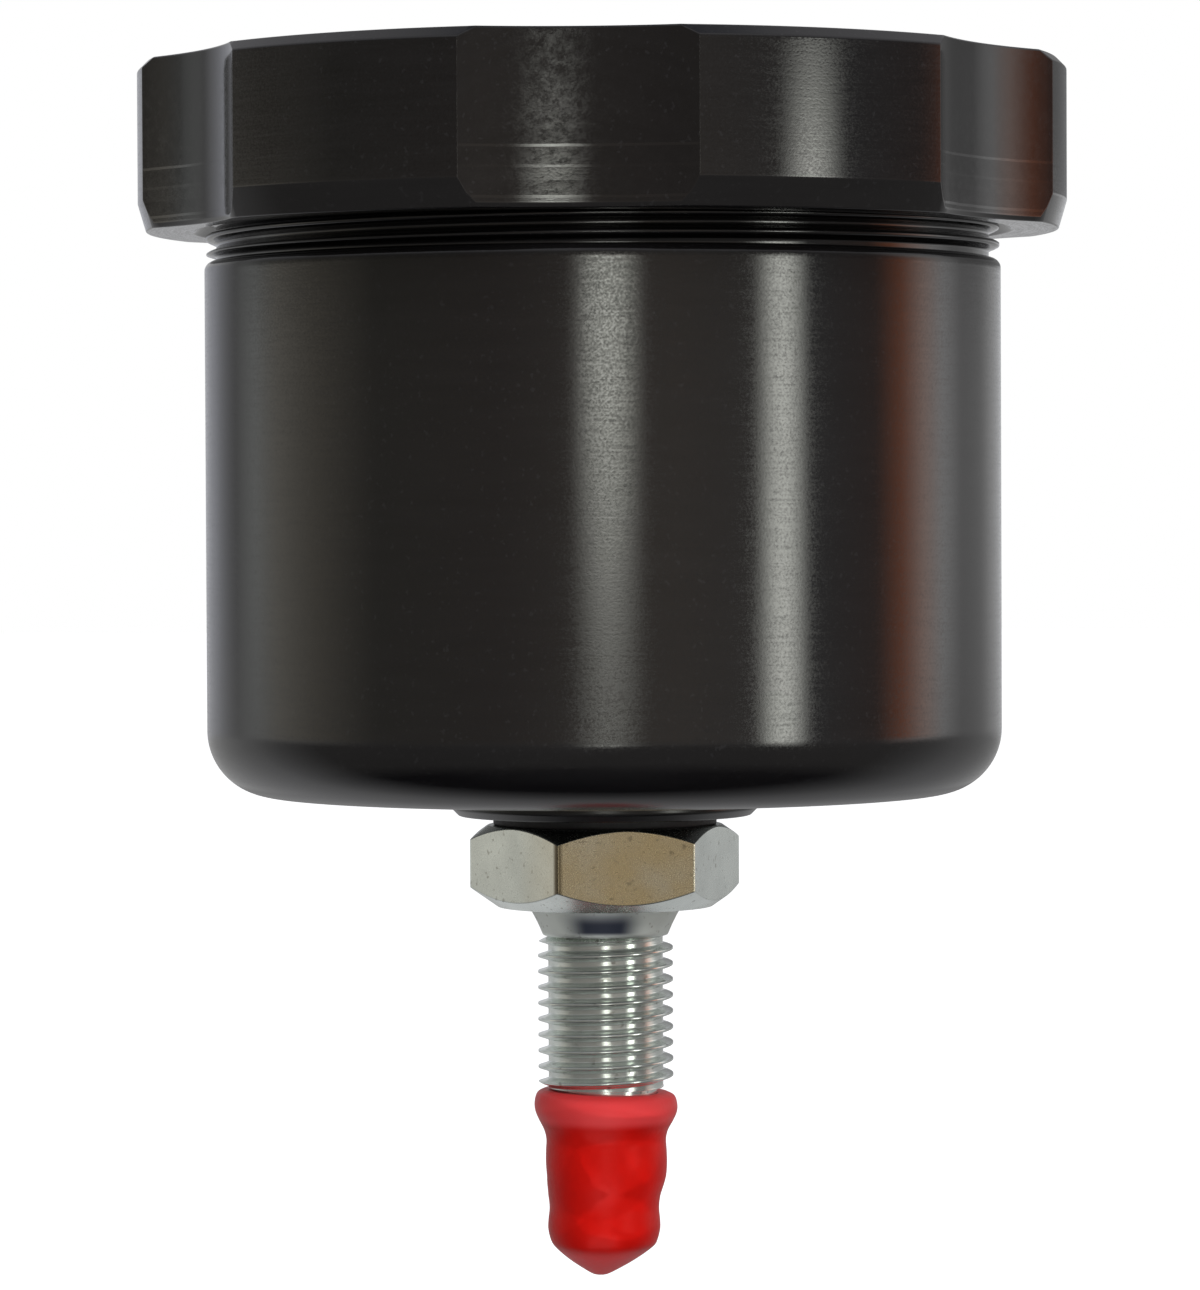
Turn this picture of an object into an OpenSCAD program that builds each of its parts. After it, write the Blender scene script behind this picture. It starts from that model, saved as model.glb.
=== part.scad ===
// Screw-lid reservoir turned from bar, with a hex outlet adapter below and a push-on dust cap.
// Origin: on the turning axis, at the upper end of the outlet thread. +Z runs up to the lid.

/* [Pot] */
// Outside diameter of the pot
pot_d = 63.5; // [54:0.5:76]
// Height of the pot from its flat base to its shoulder
pot_h = 42.5; // [36:0.5:80]
// Thickness of the pot's side wall
pot_wall = 3.2; // [2.6:0.1:4.5]
// Thickness of the pot's floor, without the boss
pot_floor = 7.5; // [6:0.5:11]
// Radius of the rounded edge at the foot of the pot
base_r = 5.2; // [3.5:0.1:6.2]
// Radius inside, where the wall meets the floor
floor_r = 3.5; // [2:0.1:5]
// Fall of the floor from the wall to the port
floor_fall = 1; // [0.5:0.1:1.8]
// Radius of the edge at the shoulder
shoulder_r = 0.6; // [0.3:0.05:0.9]

/* [Neck] */
// Height of the threaded neck above the shoulder
neck_h = 10.8; // [9:0.1:16]
// Depth to which the neck is turned below the pot's diameter
neck_cut = 0.1; // [0.05:0.05:0.4]
// Depth of the groove that ends the neck thread
runout_depth = 0.9; // [0.5:0.1:1.2]
// Height of the groove that ends the neck thread
runout_h = 0.6; // [0.4:0.1:1.2]
// Lead chamfer at the rim
rim_chamfer = 0.8; // [0.4:0.1:1.2]

/* [Lid] */
// Thickness of the lid's skirt at its lands
lid_wall = 5.15; // [4.3:0.05:8]
// Thickness of the lid's roof
lid_roof = 3.3; // [2.4:0.1:6]
// Gap between the skirt and the pot's shoulder, screwed down
lid_gap = 2.35; // [1:0.05:4]
// Chamfer round the top
lid_chamfer = 0.75; // [0.4:0.05:1.5]
// Height of the taper at the foot of the skirt
skirt_taper_h = 2.2; // [1.5:0.1:3.5]
// Amount by which that taper narrows the skirt's radius
skirt_taper = 0.65; // [0.4:0.05:1.2]
// Number of finger scallops
grip_count = 6; // [4:1:8]
// Radius of the cutter that makes a scallop
grip_r = 31; // [24:0.5:38]
// Depth of a scallop at its middle
grip_depth = 2.4; // [1.5:0.1:2.8]
// Direction of the first scallop once the lid is tight
grip_turn = 27.2; // [0:0.1:60]
// Radial clearance of the lid's thread round the neck
lid_clearance = 0.2; // [0.1:0.05:0.4]

/* [Diaphragm] */
// Thickness of the clamped rim
flange_t = 1.6; // [1.2:0.1:2.4]
// Thickness of the folded skin
skin_t = 1.2; // [0.8:0.1:1.6]
// Mean radius of each fold
fold_r = 2.4; // [1.8:0.1:2.8]
// Depth of the outer fold below the rim, to the middle of its bend
fold_depth = 12; // [9:0.5:18]
// Depth of the inner fold below the rim, to the middle of its bend
fold_crest = 4.2; // [3.8:0.1:6]
// Depth of the cup in the middle below the rim
cup_depth = 10; // [9:0.5:16]
// Clearance of the skin inside the pot
skin_clearance = 0.6; // [0.3:0.1:1.2]
// Width by which the rim stands into the lid's groove
snap_in = 0.25; // [0.1:0.05:0.5]
// Clearance round the rim in the lid's groove
snap_clearance = 0.4; // [0.3:0.05:0.8]

/* [Boss and port] */
// Diameter of the boss under the pot
boss_d = 24.6; // [21:0.2:34]
// Height of the boss
boss_h = 1.75; // [1:0.05:4]
// Chamfer round the boss
boss_chamfer = 0.6; // [0.3:0.05:0.9]
// Radial clearance of the adapter's spigot in the port
port_clearance = 0.1; // [0.05:0.05:0.3]
// Distance of the spigot's end below the floor
spigot_gap = 0.6; // [0.3:0.1:1.5]

/* [Port seal] */
// Thickness of the pressed seal ring
seal_t = 0.75; // [0.5:0.05:1.6]
// Width of the seal ring's section
seal_w = 3.2; // [2:0.1:3.6]
// Clearance of the seal ring round the spigot
seal_clearance = 0.2; // [0.1:0.05:0.5]

/* [Outlet adapter] */
// Diameter of the thread over its crests
thread_d = 11.11; // [10:0.01:12.5]
// Length of the outlet thread
thread_l = 12.2; // [9:0.1:20]
// Depth of the thread
thread_depth = 0.75; // [0.5:0.05:0.85]
// Height of the flared neck between the hex and the thread
flare_h = 2.35; // [1.5:0.05:3.5]
// Radius by which the flared neck passes the thread's crests
flare_out = 0.6; // [0.2:0.05:0.8]
// Radius of the hollow curve down the side of the flared neck
flare_curve = 12; // [6:0.5:30]
// Width of the hex across its flats
hex_af = 19; // [18:0.5:24]
// Height of the hex
hex_h = 6.55; // [5.5:0.05:12]
// Direction of the hex's first corner
hex_turn = 10; // [0:1:59]
// Inset of the round upper face from the hex's flats
hex_inset_top = 0.1; // [0.05:0.05:0.4]
// Inset of the round lower face from the hex's flats
hex_inset_foot = 0.9; // [0.5:0.1:1.4]
// Angle of the hex's chamfers
hex_chamfer_angle = 35; // [20:1:40]
// Diameter of the drilled passage
passage_d = 4.4; // [3:0.1:5.2]
// Diameter of the plain nose below the thread
nose_d = 8.2; // [7.6:0.1:9]
// Length of the plain nose
nose_l = 7.1; // [5:0.1:10]
// Width of the flat face round the passage at the nose's end
nose_land = 1.1; // [0.6:0.1:1.2]
// Half angle of the sealing cone at the nose's end
cone_angle = 37; // [30:1:45]

/* [Dust cap] */
// Wall thickness of the soft cap
cap_wall = 0.6; // [0.4:0.05:0.8]
// Radius of the rolled bead at the cap's mouth
bead_r = 1.15; // [0.9:0.05:1.4]
// Distance that the bead stands out from the cap's sleeve
bead_out = 0.9; // [0.5:0.05:1]
// Height of the hollow below the nose, down to the cap's cone
cap_hollow = 5.3; // [4.3:0.1:8]
// Amount by which the cap narrows below the nose
cap_draw = 0.35; // [0.2:0.05:0.6]
// Height of the cap's conical end
cap_cone_h = 2.7; // [2:0.1:4.5]
// Radius of the blunt tip
cap_tip_r = 0.5; // [0.3:0.05:1]
// Radial clearance of the cap on the nose
cap_clearance = 0.05; // [0.05:0.01:0.1]
// Gap between the cap's mouth and the end of the thread
cap_gap = 0.1; // [0.1:0.05:0.5]

/* [Hidden] */
$fn = 128;

anodised_black = "#202125";
zinc_plate = "#c4c2b4";
rubber_black = "#26262a";
cap_red = "#a8202e";

// Small overshoot of a cutting shape past the face it leaves
over = 1;
// Steps of a quarter bend in the revolved outlines
bend_steps = 6;

thread_r = thread_d / 2;
root_r = thread_r - thread_depth;
passage_r = passage_d / 2;

hex_foot_z = flare_h;
hex_top_z = hex_foot_z + hex_h;
seal_top_z = hex_top_z + seal_t;
base_z = seal_top_z + boss_h;
shoulder_z = base_z + pot_h;
rim_z = shoulder_z + neck_h;
roof_z = rim_z + flange_t;
lid_top_z = roof_z + lid_roof;
lid_foot_z = shoulder_z + lid_gap;

pot_r = pot_d / 2;
neck_r = pot_r - neck_cut;
cavity_r = pot_r - pot_wall;
floor_z = base_z + pot_floor;
port_z = floor_z - floor_fall;
port_r = thread_r + port_clearance;

lid_bore_r = neck_r + lid_clearance;
lid_r = lid_bore_r + lid_wall;
flange_r = lid_bore_r + snap_in;
groove_r = flange_r + snap_clearance;
groove_foot_z = rim_z - snap_clearance;

nose_end_z = -thread_l - nose_l;
nose_r = nose_d / 2;
cap_mouth_z = -thread_l - cap_gap;
cap_bore_r = nose_r + cap_clearance;
cap_r = cap_bore_r + cap_wall;
cap_cone_z = nose_end_z - cap_hollow;

// Points of an arc about c, of radius r, from angle a0 to angle a1
function arc(c, r, a0, a1, steps = bend_steps) =
    [for (i = [0 : steps]) c + r * [cos(a0 + (a1 - a0) * i / steps), sin(a0 + (a1 - a0) * i / steps)]];

// Points of a hollow curve of radius r from a down to b, with its centre on the outer side
function hollow(a, b, r, steps = bend_steps) =
    let (way = b - a,
         half = norm(way) / 2,
         off = [-way[1], way[0]] / (2 * half) * sqrt(r * r - half * half),
         c = (a + b) / 2 + off,
         from = atan2(a[1] - c[1], a[0] - c[0]),
         step = 2 * asin(half / r) / steps)
    concat([a], [for (i = [1 : steps - 1]) c + r * [cos(from + i * step), sin(from + i * step)]], [b]);

// Outline of the pot's outside, from the port's axis round to the rim's axis
function pot_outline() = concat(
    [[0, seal_top_z], [boss_d / 2 - boss_chamfer, seal_top_z], [boss_d / 2, seal_top_z + boss_chamfer],
     [boss_d / 2, base_z]],
    arc([pot_r - base_r, base_z + base_r], base_r, -90, 0, 2 * bend_steps),
    arc([pot_r - shoulder_r, shoulder_z - shoulder_r], shoulder_r, 0, 90, bend_steps / 2),
    [[neck_r - runout_depth, shoulder_z], [neck_r - runout_depth, shoulder_z + runout_h],
     [neck_r, shoulder_z + runout_h + runout_depth / 2], [neck_r, rim_z - rim_chamfer],
     [neck_r - rim_chamfer, rim_z], [0, rim_z]]);

// Outline of the pot's cavity, open at the rim
function cavity_outline() = concat(
    [[0, port_z], [port_r, port_z]],
    arc([cavity_r - floor_r, floor_z + floor_r], floor_r, -90, 0),
    [[cavity_r, rim_z - rim_chamfer / 2], [cavity_r + rim_chamfer / 2, rim_z],
     [cavity_r + rim_chamfer / 2, rim_z + over], [0, rim_z + over]]);

module pot() {
    color(anodised_black)
    difference() {
        rotate_extrude() polygon(pot_outline());
        rotate_extrude() polygon(cavity_outline());
        translate([0, 0, seal_top_z - over]) cylinder(r = port_r, h = port_z - seal_top_z + 2 * over);
    }
}

// Outline of the lid's body before the scallops are cut
function lid_outline() = [
    [0, lid_foot_z], [lid_r - skirt_taper, lid_foot_z], [lid_r, lid_foot_z + skirt_taper_h],
    [lid_r, lid_top_z - lid_chamfer], [lid_r - lid_chamfer, lid_top_z], [0, lid_top_z]];

// Outline of the threaded bore and of the groove above it that holds the diaphragm's rim
function lid_bore_outline() = [
    [0, lid_foot_z - over], [lid_bore_r + rim_chamfer, lid_foot_z - over],
    [lid_bore_r + rim_chamfer, lid_foot_z], [lid_bore_r, lid_foot_z + rim_chamfer],
    [lid_bore_r, groove_foot_z], [groove_r, groove_foot_z], [groove_r, roof_z], [0, roof_z]];

module lid() {
    cutter_x = lid_r - grip_depth + grip_r;
    color(anodised_black)
    difference() {
        rotate_extrude() polygon(lid_outline());
        rotate_extrude() polygon(lid_bore_outline());
        for (i = [0 : grip_count - 1])
            rotate([0, 0, grip_turn + i * 360 / grip_count])
                translate([cutter_x, 0, lid_foot_z - over])
                    cylinder(r = grip_r, h = lid_top_z - lid_foot_z + 2 * over);
    }
}

// Outline of the diaphragm: a clamped rim, one hanging fold, one standing fold and a cup in the middle
function diaphragm_outline() =
    let (half = skin_t / 2,
         wall_r = cavity_r - skin_clearance - half,
         low_z = rim_z - fold_depth,
         high_z = rim_z - fold_crest,
         cup_z = rim_z - cup_depth + fold_r,
         low_c = [wall_r - fold_r, low_z],
         high_c = [wall_r - 3 * fold_r, high_z],
         cup_c = [wall_r - 5 * fold_r, cup_z],
         wide = fold_r + half,
         tight = fold_r - half)
    concat(
        [[flange_r, rim_z], [wall_r + half, rim_z]],
        arc(low_c, wide, 0, -180),
        arc(high_c, tight, 0, 180),
        arc(cup_c, wide, 0, -90),
        [[0, cup_z - wide], [0, cup_z - tight]],
        arc(cup_c, tight, -90, 0),
        arc(high_c, wide, 180, 0),
        arc(low_c, tight, -180, 0),
        [[wall_r - half, roof_z], [flange_r, roof_z]]);

module diaphragm() {
    color(rubber_black) rotate_extrude() polygon(diaphragm_outline());
}

// Hex with its upper and lower corners turned off to round faces
module hex_body() {
    corner_r = hex_af / 2 / cos(30);
    top_r = hex_af / 2 - hex_inset_top;
    foot_r = hex_af / 2 - hex_inset_foot;
    slope = tan(hex_chamfer_angle);
    intersection() {
        rotate([0, 0, hex_turn]) translate([0, 0, hex_foot_z]) cylinder(r = corner_r, h = hex_h, $fn = 6);
        rotate_extrude() polygon([
            [0, hex_foot_z], [foot_r, hex_foot_z],
            [corner_r + over, hex_foot_z + (corner_r + over - foot_r) * slope],
            [corner_r + over, hex_top_z - (corner_r + over - top_r) * slope],
            [top_r, hex_top_z], [0, hex_top_z]]);
    }
}

// Outline of the adapter below the hex: flared neck, thread, plain nose and sealing cone
function outlet_outline() =
    let (flare_r = thread_r + flare_out,
         tip_r = passage_r + nose_land,
         cone_h = (nose_r - tip_r) / tan(cone_angle))
    concat(
        [[0, hex_foot_z + over], [flare_r, hex_foot_z + over]],
        hollow([flare_r, hex_foot_z], [root_r, 0], flare_curve),
        [[thread_r, 0], [thread_r, thread_depth - thread_l], [root_r, -thread_l], [nose_r, -thread_l],
         [nose_r, nose_end_z + cone_h], [tip_r, nose_end_z], [0, nose_end_z]]);

module outlet_adapter() {
    spigot_top_z = port_z - spigot_gap;
    color(zinc_plate)
    difference() {
        union() {
            hex_body();
            rotate_extrude() polygon(outlet_outline());
            translate([0, 0, hex_top_z - over]) cylinder(r = thread_r, h = spigot_top_z - hex_top_z + over);
        }
        translate([0, 0, nose_end_z - over]) cylinder(r = passage_r, h = spigot_top_z - nose_end_z + 2 * over);
    }
}

module port_seal() {
    inner_r = thread_r + seal_clearance;
    color(rubber_black)
    translate([0, 0, hex_top_z])
    difference() {
        cylinder(r = inner_r + seal_w, h = seal_t);
        translate([0, 0, -over]) cylinder(r = inner_r, h = seal_t + 2 * over);
    }
}

// Outline of the cap: rolled bead, sleeve drawn over the nose, narrower hollow end and blunt cone
function cap_outline() =
    let (bead_c = [cap_r + bead_out - bead_r, cap_mouth_z - bead_r],
         low_r = cap_r - cap_draw,
         low_bore_r = cap_bore_r - cap_draw,
         step_z = nose_end_z - cap_draw,
         tip_z = cap_cone_z - cap_cone_h)
    concat(
        [[cap_bore_r, cap_mouth_z]],
        arc(bead_c, bead_r, 90, -60),
        [[cap_r, cap_mouth_z - 3 * bead_r], [cap_r, nose_end_z], [low_r, step_z - cap_draw],
         [low_r, cap_cone_z + cap_wall / 2], [low_r - cap_wall / 2, cap_cone_z - cap_wall / 2],
         [cap_tip_r, tip_z], [0, tip_z],
         [0, tip_z + 2 * cap_wall], [low_bore_r - cap_wall / 2, cap_cone_z],
         [low_bore_r, cap_cone_z + cap_wall / 2], [low_bore_r, step_z], [cap_bore_r, nose_end_z]]);

module dust_cap() {
    color(cap_red) rotate_extrude() polygon(cap_outline());
}

pot();
lid();
diaphragm();
outlet_adapter();
port_seal();
dust_cap();
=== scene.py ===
"""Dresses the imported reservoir: turned black pot and lid, plated adapter, rubber parts and a soft red cap."""

import math

import bmesh
import bpy
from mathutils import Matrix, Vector


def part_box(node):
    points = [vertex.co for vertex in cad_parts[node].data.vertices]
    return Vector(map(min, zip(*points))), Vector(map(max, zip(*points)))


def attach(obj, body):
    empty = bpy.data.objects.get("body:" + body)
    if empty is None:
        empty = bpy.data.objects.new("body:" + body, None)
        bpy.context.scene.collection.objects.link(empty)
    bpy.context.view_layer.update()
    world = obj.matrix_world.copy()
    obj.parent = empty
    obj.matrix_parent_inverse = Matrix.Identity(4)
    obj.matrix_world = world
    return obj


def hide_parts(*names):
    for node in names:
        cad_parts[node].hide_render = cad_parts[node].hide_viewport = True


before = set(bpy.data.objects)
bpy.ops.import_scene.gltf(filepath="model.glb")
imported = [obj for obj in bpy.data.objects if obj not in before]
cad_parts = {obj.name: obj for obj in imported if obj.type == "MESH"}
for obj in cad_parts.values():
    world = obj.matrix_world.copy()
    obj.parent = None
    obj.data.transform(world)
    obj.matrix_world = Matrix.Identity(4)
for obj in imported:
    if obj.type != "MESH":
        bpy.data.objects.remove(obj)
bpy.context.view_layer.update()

bl_info = {
    "name": "Screw-lid reservoir",
    "version": (1, 0, 0),
    "blender": (4, 5, 0),
    "location": "View3D > Sidebar > Reservoir",
    "description": "Makes the turned, plated, rubber and vinyl pieces of a screw-lid reservoir",
    "category": "Object",
}

MM = 0.001
FULL_TURN = 2 * math.pi

# The photograph's height, in pixels
PHOTO_HEIGHT = 1290

# Faces that meet at more than this angle keep a sharp edge
SHARP_FROM = math.radians(38)

# How far a point may lie from a thread's radius and past its ends and still be part of it
THREAD_REACH = 0.02 * MM
THREAD_SLACK = 0.001 * MM

# Points of the outline in one pitch of each thread
NECK_RUNGS = 18
LID_RUNGS = 12
OUTLET_RUNGS = 22

# How close the broad streaks of a turned skin lie against its fine rings, in X, Y and Z
BROAD_RINGS = (0.6, 0.6, 0.17)

# How close the soft clouds in every skin lie
CLOUDS_PER_METRE = 260.0

# Heights of the milling steps in the scallops, as multiples of the anodised skin's bump
MILL_DEPTHS = (2.0, 0.5, 2.0)

POT_LOW, POT_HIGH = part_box("pot")
LID_LOW, LID_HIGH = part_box("lid")
DIAPHRAGM_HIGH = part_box("diaphragm")[1]
ADAPTER_LOW, ADAPTER_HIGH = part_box("outlet_adapter")
SEAL_LOW, SEAL_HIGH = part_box("port_seal")
CAP_LOW, CAP_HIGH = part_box("dust_cap")


def length(name, description, millimetres):
    """A property that holds a length, given in millimetres and kept in metres."""
    return bpy.props.FloatProperty(
        name=name, description=description, default=millimetres * MM, min=0.0, precision=5, unit="LENGTH"
    )


def number(name, description, value):
    """A plain number."""
    return bpy.props.FloatProperty(name=name, description=description, default=value, precision=4)


def angle(name, description, degrees):
    """A property that holds an angle, given in degrees."""
    return bpy.props.FloatProperty(
        name=name, description=description, default=math.radians(degrees), unit="ROTATION"
    )


def colour(name, description, red, green, blue):
    """A property that holds a surface colour."""
    return bpy.props.FloatVectorProperty(
        name=name, description=description, default=(red, green, blue, 1.0), size=4, subtype="COLOR",
        min=0.0, max=1.0,
    )


class PotSizes(bpy.types.PropertyGroup):
    """Sizes of the pot."""

    side_radius: length("Side radius", "Radius of the pot's side", 31.75)
    foot_radius: length("Foot radius", "Radius of the rounded edge at the foot", 5.2)
    shoulder_ease: length("Shoulder edge", "Radius of the edge at the shoulder", 0.75)
    body_height: length("Body height", "Height from the flat base to the shoulder", 42.5)
    boss_radius: length("Boss radius", "Radius of the boss under the pot", 12.3)
    boss_height: length("Boss height", "Height of the boss", 1.75)
    boss_chamfer: length("Boss chamfer", "Chamfer round the boss", 0.6)
    neck_root: length("Neck root", "Radius of the neck at the root of its thread", 30.8)
    neck_crest: length("Neck crest", "Radius of the neck at the crest of its thread", 31.65)
    groove_height: length("Groove height", "Height of the groove that ends the neck thread", 0.3)
    rim_chamfer: length("Rim chamfer", "Chamfer at the rim", 0.8)
    cavity_radius: length("Cavity radius", "Radius of the pot's inside", 28.55)
    floor_thickness: length("Floor thickness", "Thickness of the floor without the boss", 7.5)
    floor_corner: length("Floor corner", "Radius where the floor meets the wall", 3.5)
    floor_fall: length("Floor fall", "Fall of the floor towards the port", 1.0)
    port_radius: length("Port radius", "Radius of the port in the floor", 5.655)
    edge_ease: length("Edge ease", "Rounding of the sharp edges", 0.12)


class LidSizes(bpy.types.PropertyGroup):
    """Sizes of the lid."""

    land_radius: length("Land radius", "Radius of the lid between its scallops", 37.0)
    top_chamfer: length("Top chamfer", "Chamfer round the top", 0.75)
    taper_height: length("Taper height", "Height of the taper at the foot of the skirt", 2.2)
    taper_width: length("Taper width", "Amount by which that taper narrows the radius", 0.65)
    scallop_count: bpy.props.IntProperty(name="Scallops", description="Number of scallops", default=6, min=1)
    scallop_radius: length("Scallop radius", "Radius of the cutter that makes a scallop", 31.0)
    scallop_depth: length("Scallop depth", "Depth of a scallop at its middle", 2.4)
    first_scallop: angle("First scallop", "Direction of the first scallop", 27.2)
    crease_ease: length("Crease ease", "Rounding where a scallop meets a land", 0.01)
    bore_radius: length("Bore radius", "Radius of the threaded bore", 31.85)
    bore_chamfer: length("Bore chamfer", "Chamfer at the mouth of the bore", 0.8)
    mill_steps: bpy.props.FloatVectorProperty(
        name="Milling steps", description="Heights of the cutter's marks above the foot of the skirt", size=3,
        default=(0.85 * MM, 3.1 * MM, 4.62 * MM), unit="LENGTH", precision=5,
    )
    groove_radius: length("Groove radius", "Radius of the groove that holds the diaphragm", 32.5)
    groove_drop: length("Groove drop", "Depth of the groove below the pot's rim", 0.4)
    edge_ease: length("Edge ease", "Rounding of the sharp edges", 0.1)


class ThreadSizes(bpy.types.PropertyGroup):
    """Sizes of the three threads."""

    neck_pitch: length("Neck pitch", "Pitch of the thread between pot and lid", 1.411)
    neck_run_out: length("Neck run-out", "Length over which the neck thread starts and ends", 0.25)
    lid_depth: length("Lid thread depth", "Depth of the groove cut in the lid", 0.5)
    outlet_pitch: length("Outlet pitch", "Pitch of the outlet thread", 1.27)
    outlet_root: length("Outlet root", "Radius of the outlet thread at its root", 4.6)
    outlet_crest: length("Outlet crest", "Radius of the outlet thread at its crest", 5.42)
    outlet_length: length("Outlet length", "Length of the outlet thread", 12.2)
    run_out: length("Run-out", "Length over which a thread starts and ends", 0.5)


class AdapterSizes(bpy.types.PropertyGroup):
    """Sizes of the outlet adapter."""

    hex_foot: length("Hex foot", "Height of the hex's foot above the thread", 2.35)
    hex_height: length("Hex height", "Height of the hex", 6.55)
    hex_flat: length("Hex flat", "Distance from the axis to a flat", 9.5)
    hex_turn: angle("Hex turn", "Direction of the hex's first corner", 10.0)
    hex_corner: length("Hex corner", "Rounding of the hex's corners", 0.035)
    inset_top: length("Upper inset", "Inset of the round upper face from the flats", 0.1)
    inset_foot: length("Lower inset", "Inset of the round lower face from the flats", 0.9)
    hex_chamfer: angle("Hex chamfer", "Angle of the hex's chamfers", 35.0)
    flare_radius: length("Flare radius", "Radius of the neck where it meets the hex", 6.155)
    flare_end: length("Flare end", "Radius of the neck where it meets the thread", 5.0)
    flare_hollow: number("Flare hollow", "Share of the flare's width that its hollow curve takes", 0.24)
    spigot_radius: length("Spigot radius", "Radius of the spigot in the port", 5.555)
    nose_radius: length("Nose radius", "Radius of the plain nose", 4.1)
    tip_radius: length("Tip radius", "Radius of the flat face at the nose's end", 3.3)
    cone_angle: angle("Cone angle", "Half angle of the sealing cone", 37.0)
    passage_radius: length("Passage radius", "Radius of the drilled passage", 2.2)
    edge_ease: length("Edge ease", "Rounding of the turned edges", 0.07)


class SoftSizes(bpy.types.PropertyGroup):
    """Sizes of the diaphragm, the seal and the dust cap."""

    skin: length("Skin", "Thickness of the diaphragm's skin", 1.2)
    fold: length("Fold", "Mean radius of each fold", 2.4)
    fold_depth: length("Fold depth", "Depth of the outer fold below the rim", 12.0)
    fold_crest: length("Fold crest", "Depth of the inner fold below the rim", 4.2)
    cup_depth: length("Cup depth", "Depth of the cup below the rim", 10.0)
    skin_gap: length("Skin gap", "Clearance of the skin inside the pot", 0.6)
    seal_hole: length("Seal hole", "Radius of the hole in the seal", 5.755)
    cap_bore: length("Cap bore", "Radius of the cap's inside on the nose", 4.15)
    cap_wall: length("Cap wall", "Thickness of the cap's wall", 0.6)
    cap_band: length("Cap band", "Radius of the rolled band at the cap's mouth", 5.72)
    cap_draw: length("Cap draw", "Amount by which the cap narrows below the nose", 0.35)
    cap_lump: length("Cap unevenness", "Unevenness of the soft cap", 0.05)
    cap_slant: length("Cap slant", "Drop of the cap's mouth from its left to its right", 0.4)
    cap_lean: length("Cap lean", "Distance that the cap's tip leans to the left", 0.5)


class FinishColours(bpy.types.PropertyGroup):
    """Colours of the finishes, and of the painted reflections and sheen on the adapter and the cap."""

    anodised: colour("Anodised black", "Black anodised aluminium", 0.007, 0.0065, 0.0068)
    anodised_speck: colour("Anodised specks", "Specks in the anodised skin", 0.03, 0.03, 0.032)
    zinc: colour("Zinc plate", "Zinc plating", 0.86, 0.91, 0.87)
    # Warm tint painted on the hex's front faces: a painted reflection of warm surroundings.
    zinc_warm: colour("Painted warm reflection on zinc", "Painted warm reflection on the hex's front faces", 0.8, 0.66, 0.4)
    # Also used for a dark line along the corner of the hex's front face.
    dirt: colour("Dirt", "Dirt and pits on the plating", 0.12, 0.09, 0.05)
    # Dark blue painted on the front of the flare: a painted reflection of the dark ground in front.
    burnt: colour("Painted dark reflection", "Painted dark blue reflection on the flare", 0.025, 0.033, 0.062)
    rubber: colour("Rubber", "Black rubber", 0.018, 0.018, 0.02)
    vinyl: colour("Vinyl", "Soft red vinyl", 0.72, 0.005, 0.0018)
    # Paler at the band partly in its own tone and partly as a painted sheen; paler at the tip as a painted
    # reflection of the bright ground below.
    vinyl_pale: colour("Pale vinyl", "Soft red vinyl at the cap's band and tip", 0.92, 0.075, 0.08)
    floor: colour("Floor", "Pale floor", 0.86, 0.86, 0.86)


class StageSizes(bpy.types.PropertyGroup):
    """Places of the camera and the floor."""

    camera_distance: length("Camera distance", "Distance of the camera from the axis", 431.0)
    camera_height: length("Camera height", "Height of the camera above the origin", 33.5)
    camera_side: length("Camera side", "Distance of the camera to the left of the axis", 0.29)
    focal_pixels: number("Focal length", "Focal length in the photograph's pixels", 5383.0)
    horizon_row: number("Horizon", "The photograph's row at the camera's own height", 517.0)
    camera_roll: angle("Camera roll", "Clockwise roll of the camera", 0.25)
    floor_drop: length("Floor drop", "Distance of the floor below the cap", 75.0)
    floor_radius: length("Floor radius", "Radius of the floor", 6000.0)


# Outlines are lists of (radius, height, ease) corners. Ease is the rounding of a corner, or 0 for none.
# A rounded corner has a few steps, and a point on each side that holds it, at a multiple of its reach.
EASE_STEPS = 4
HOLD = 1.5


def arc(centre_radius, centre_height, radius, start, end, steps):
    """Points of an arc in an outline, with its angles in degrees."""
    turns = [math.radians(start + (end - start) * i / steps) for i in range(steps + 1)]
    return [(centre_radius + radius * math.cos(t), centre_height + radius * math.sin(t), 0.0) for t in turns]


def rungs(radius, low, high, spacing):
    """Evenly spaced points up or down a straight side, without its ends."""
    steps = max(2, round(abs(high - low) / spacing))
    return [(radius, low + (high - low) * i / steps, 0.0) for i in range(1, steps)]


def eased(corners, closed):
    """The outline as (radius, height) points, with its corners rounded and held by a point on each side."""
    points = []
    count = len(corners)
    for i, (radius, height, ease) in enumerate(corners):
        here = Vector((radius, height))
        if ease == 0.0 or (not closed and i in (0, count - 1)):
            points.append(here)
            continue
        before = Vector(corners[i - 1][:2]) - here
        after = Vector(corners[(i + 1) % count][:2]) - here
        reach = min(ease, 0.3 * before.length, 0.3 * after.length)
        to_start = before.normalized() * reach
        to_end = after.normalized() * reach
        points.append(here + to_start * HOLD)
        for step in range(EASE_STEPS + 1):
            t = step / EASE_STEPS
            points.append(here + to_start * (1 - t) ** 2 + to_end * t**2)
        points.append(here + to_end * HOLD)
    return points


def object_from(builder, name):
    """An object in the scene with the shape that a mesh builder holds."""
    mesh = bpy.data.meshes.new(name)
    builder.to_mesh(mesh)
    builder.free()
    made = bpy.data.objects.new(name, mesh)
    bpy.context.scene.collection.objects.link(made)
    return made


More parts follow.
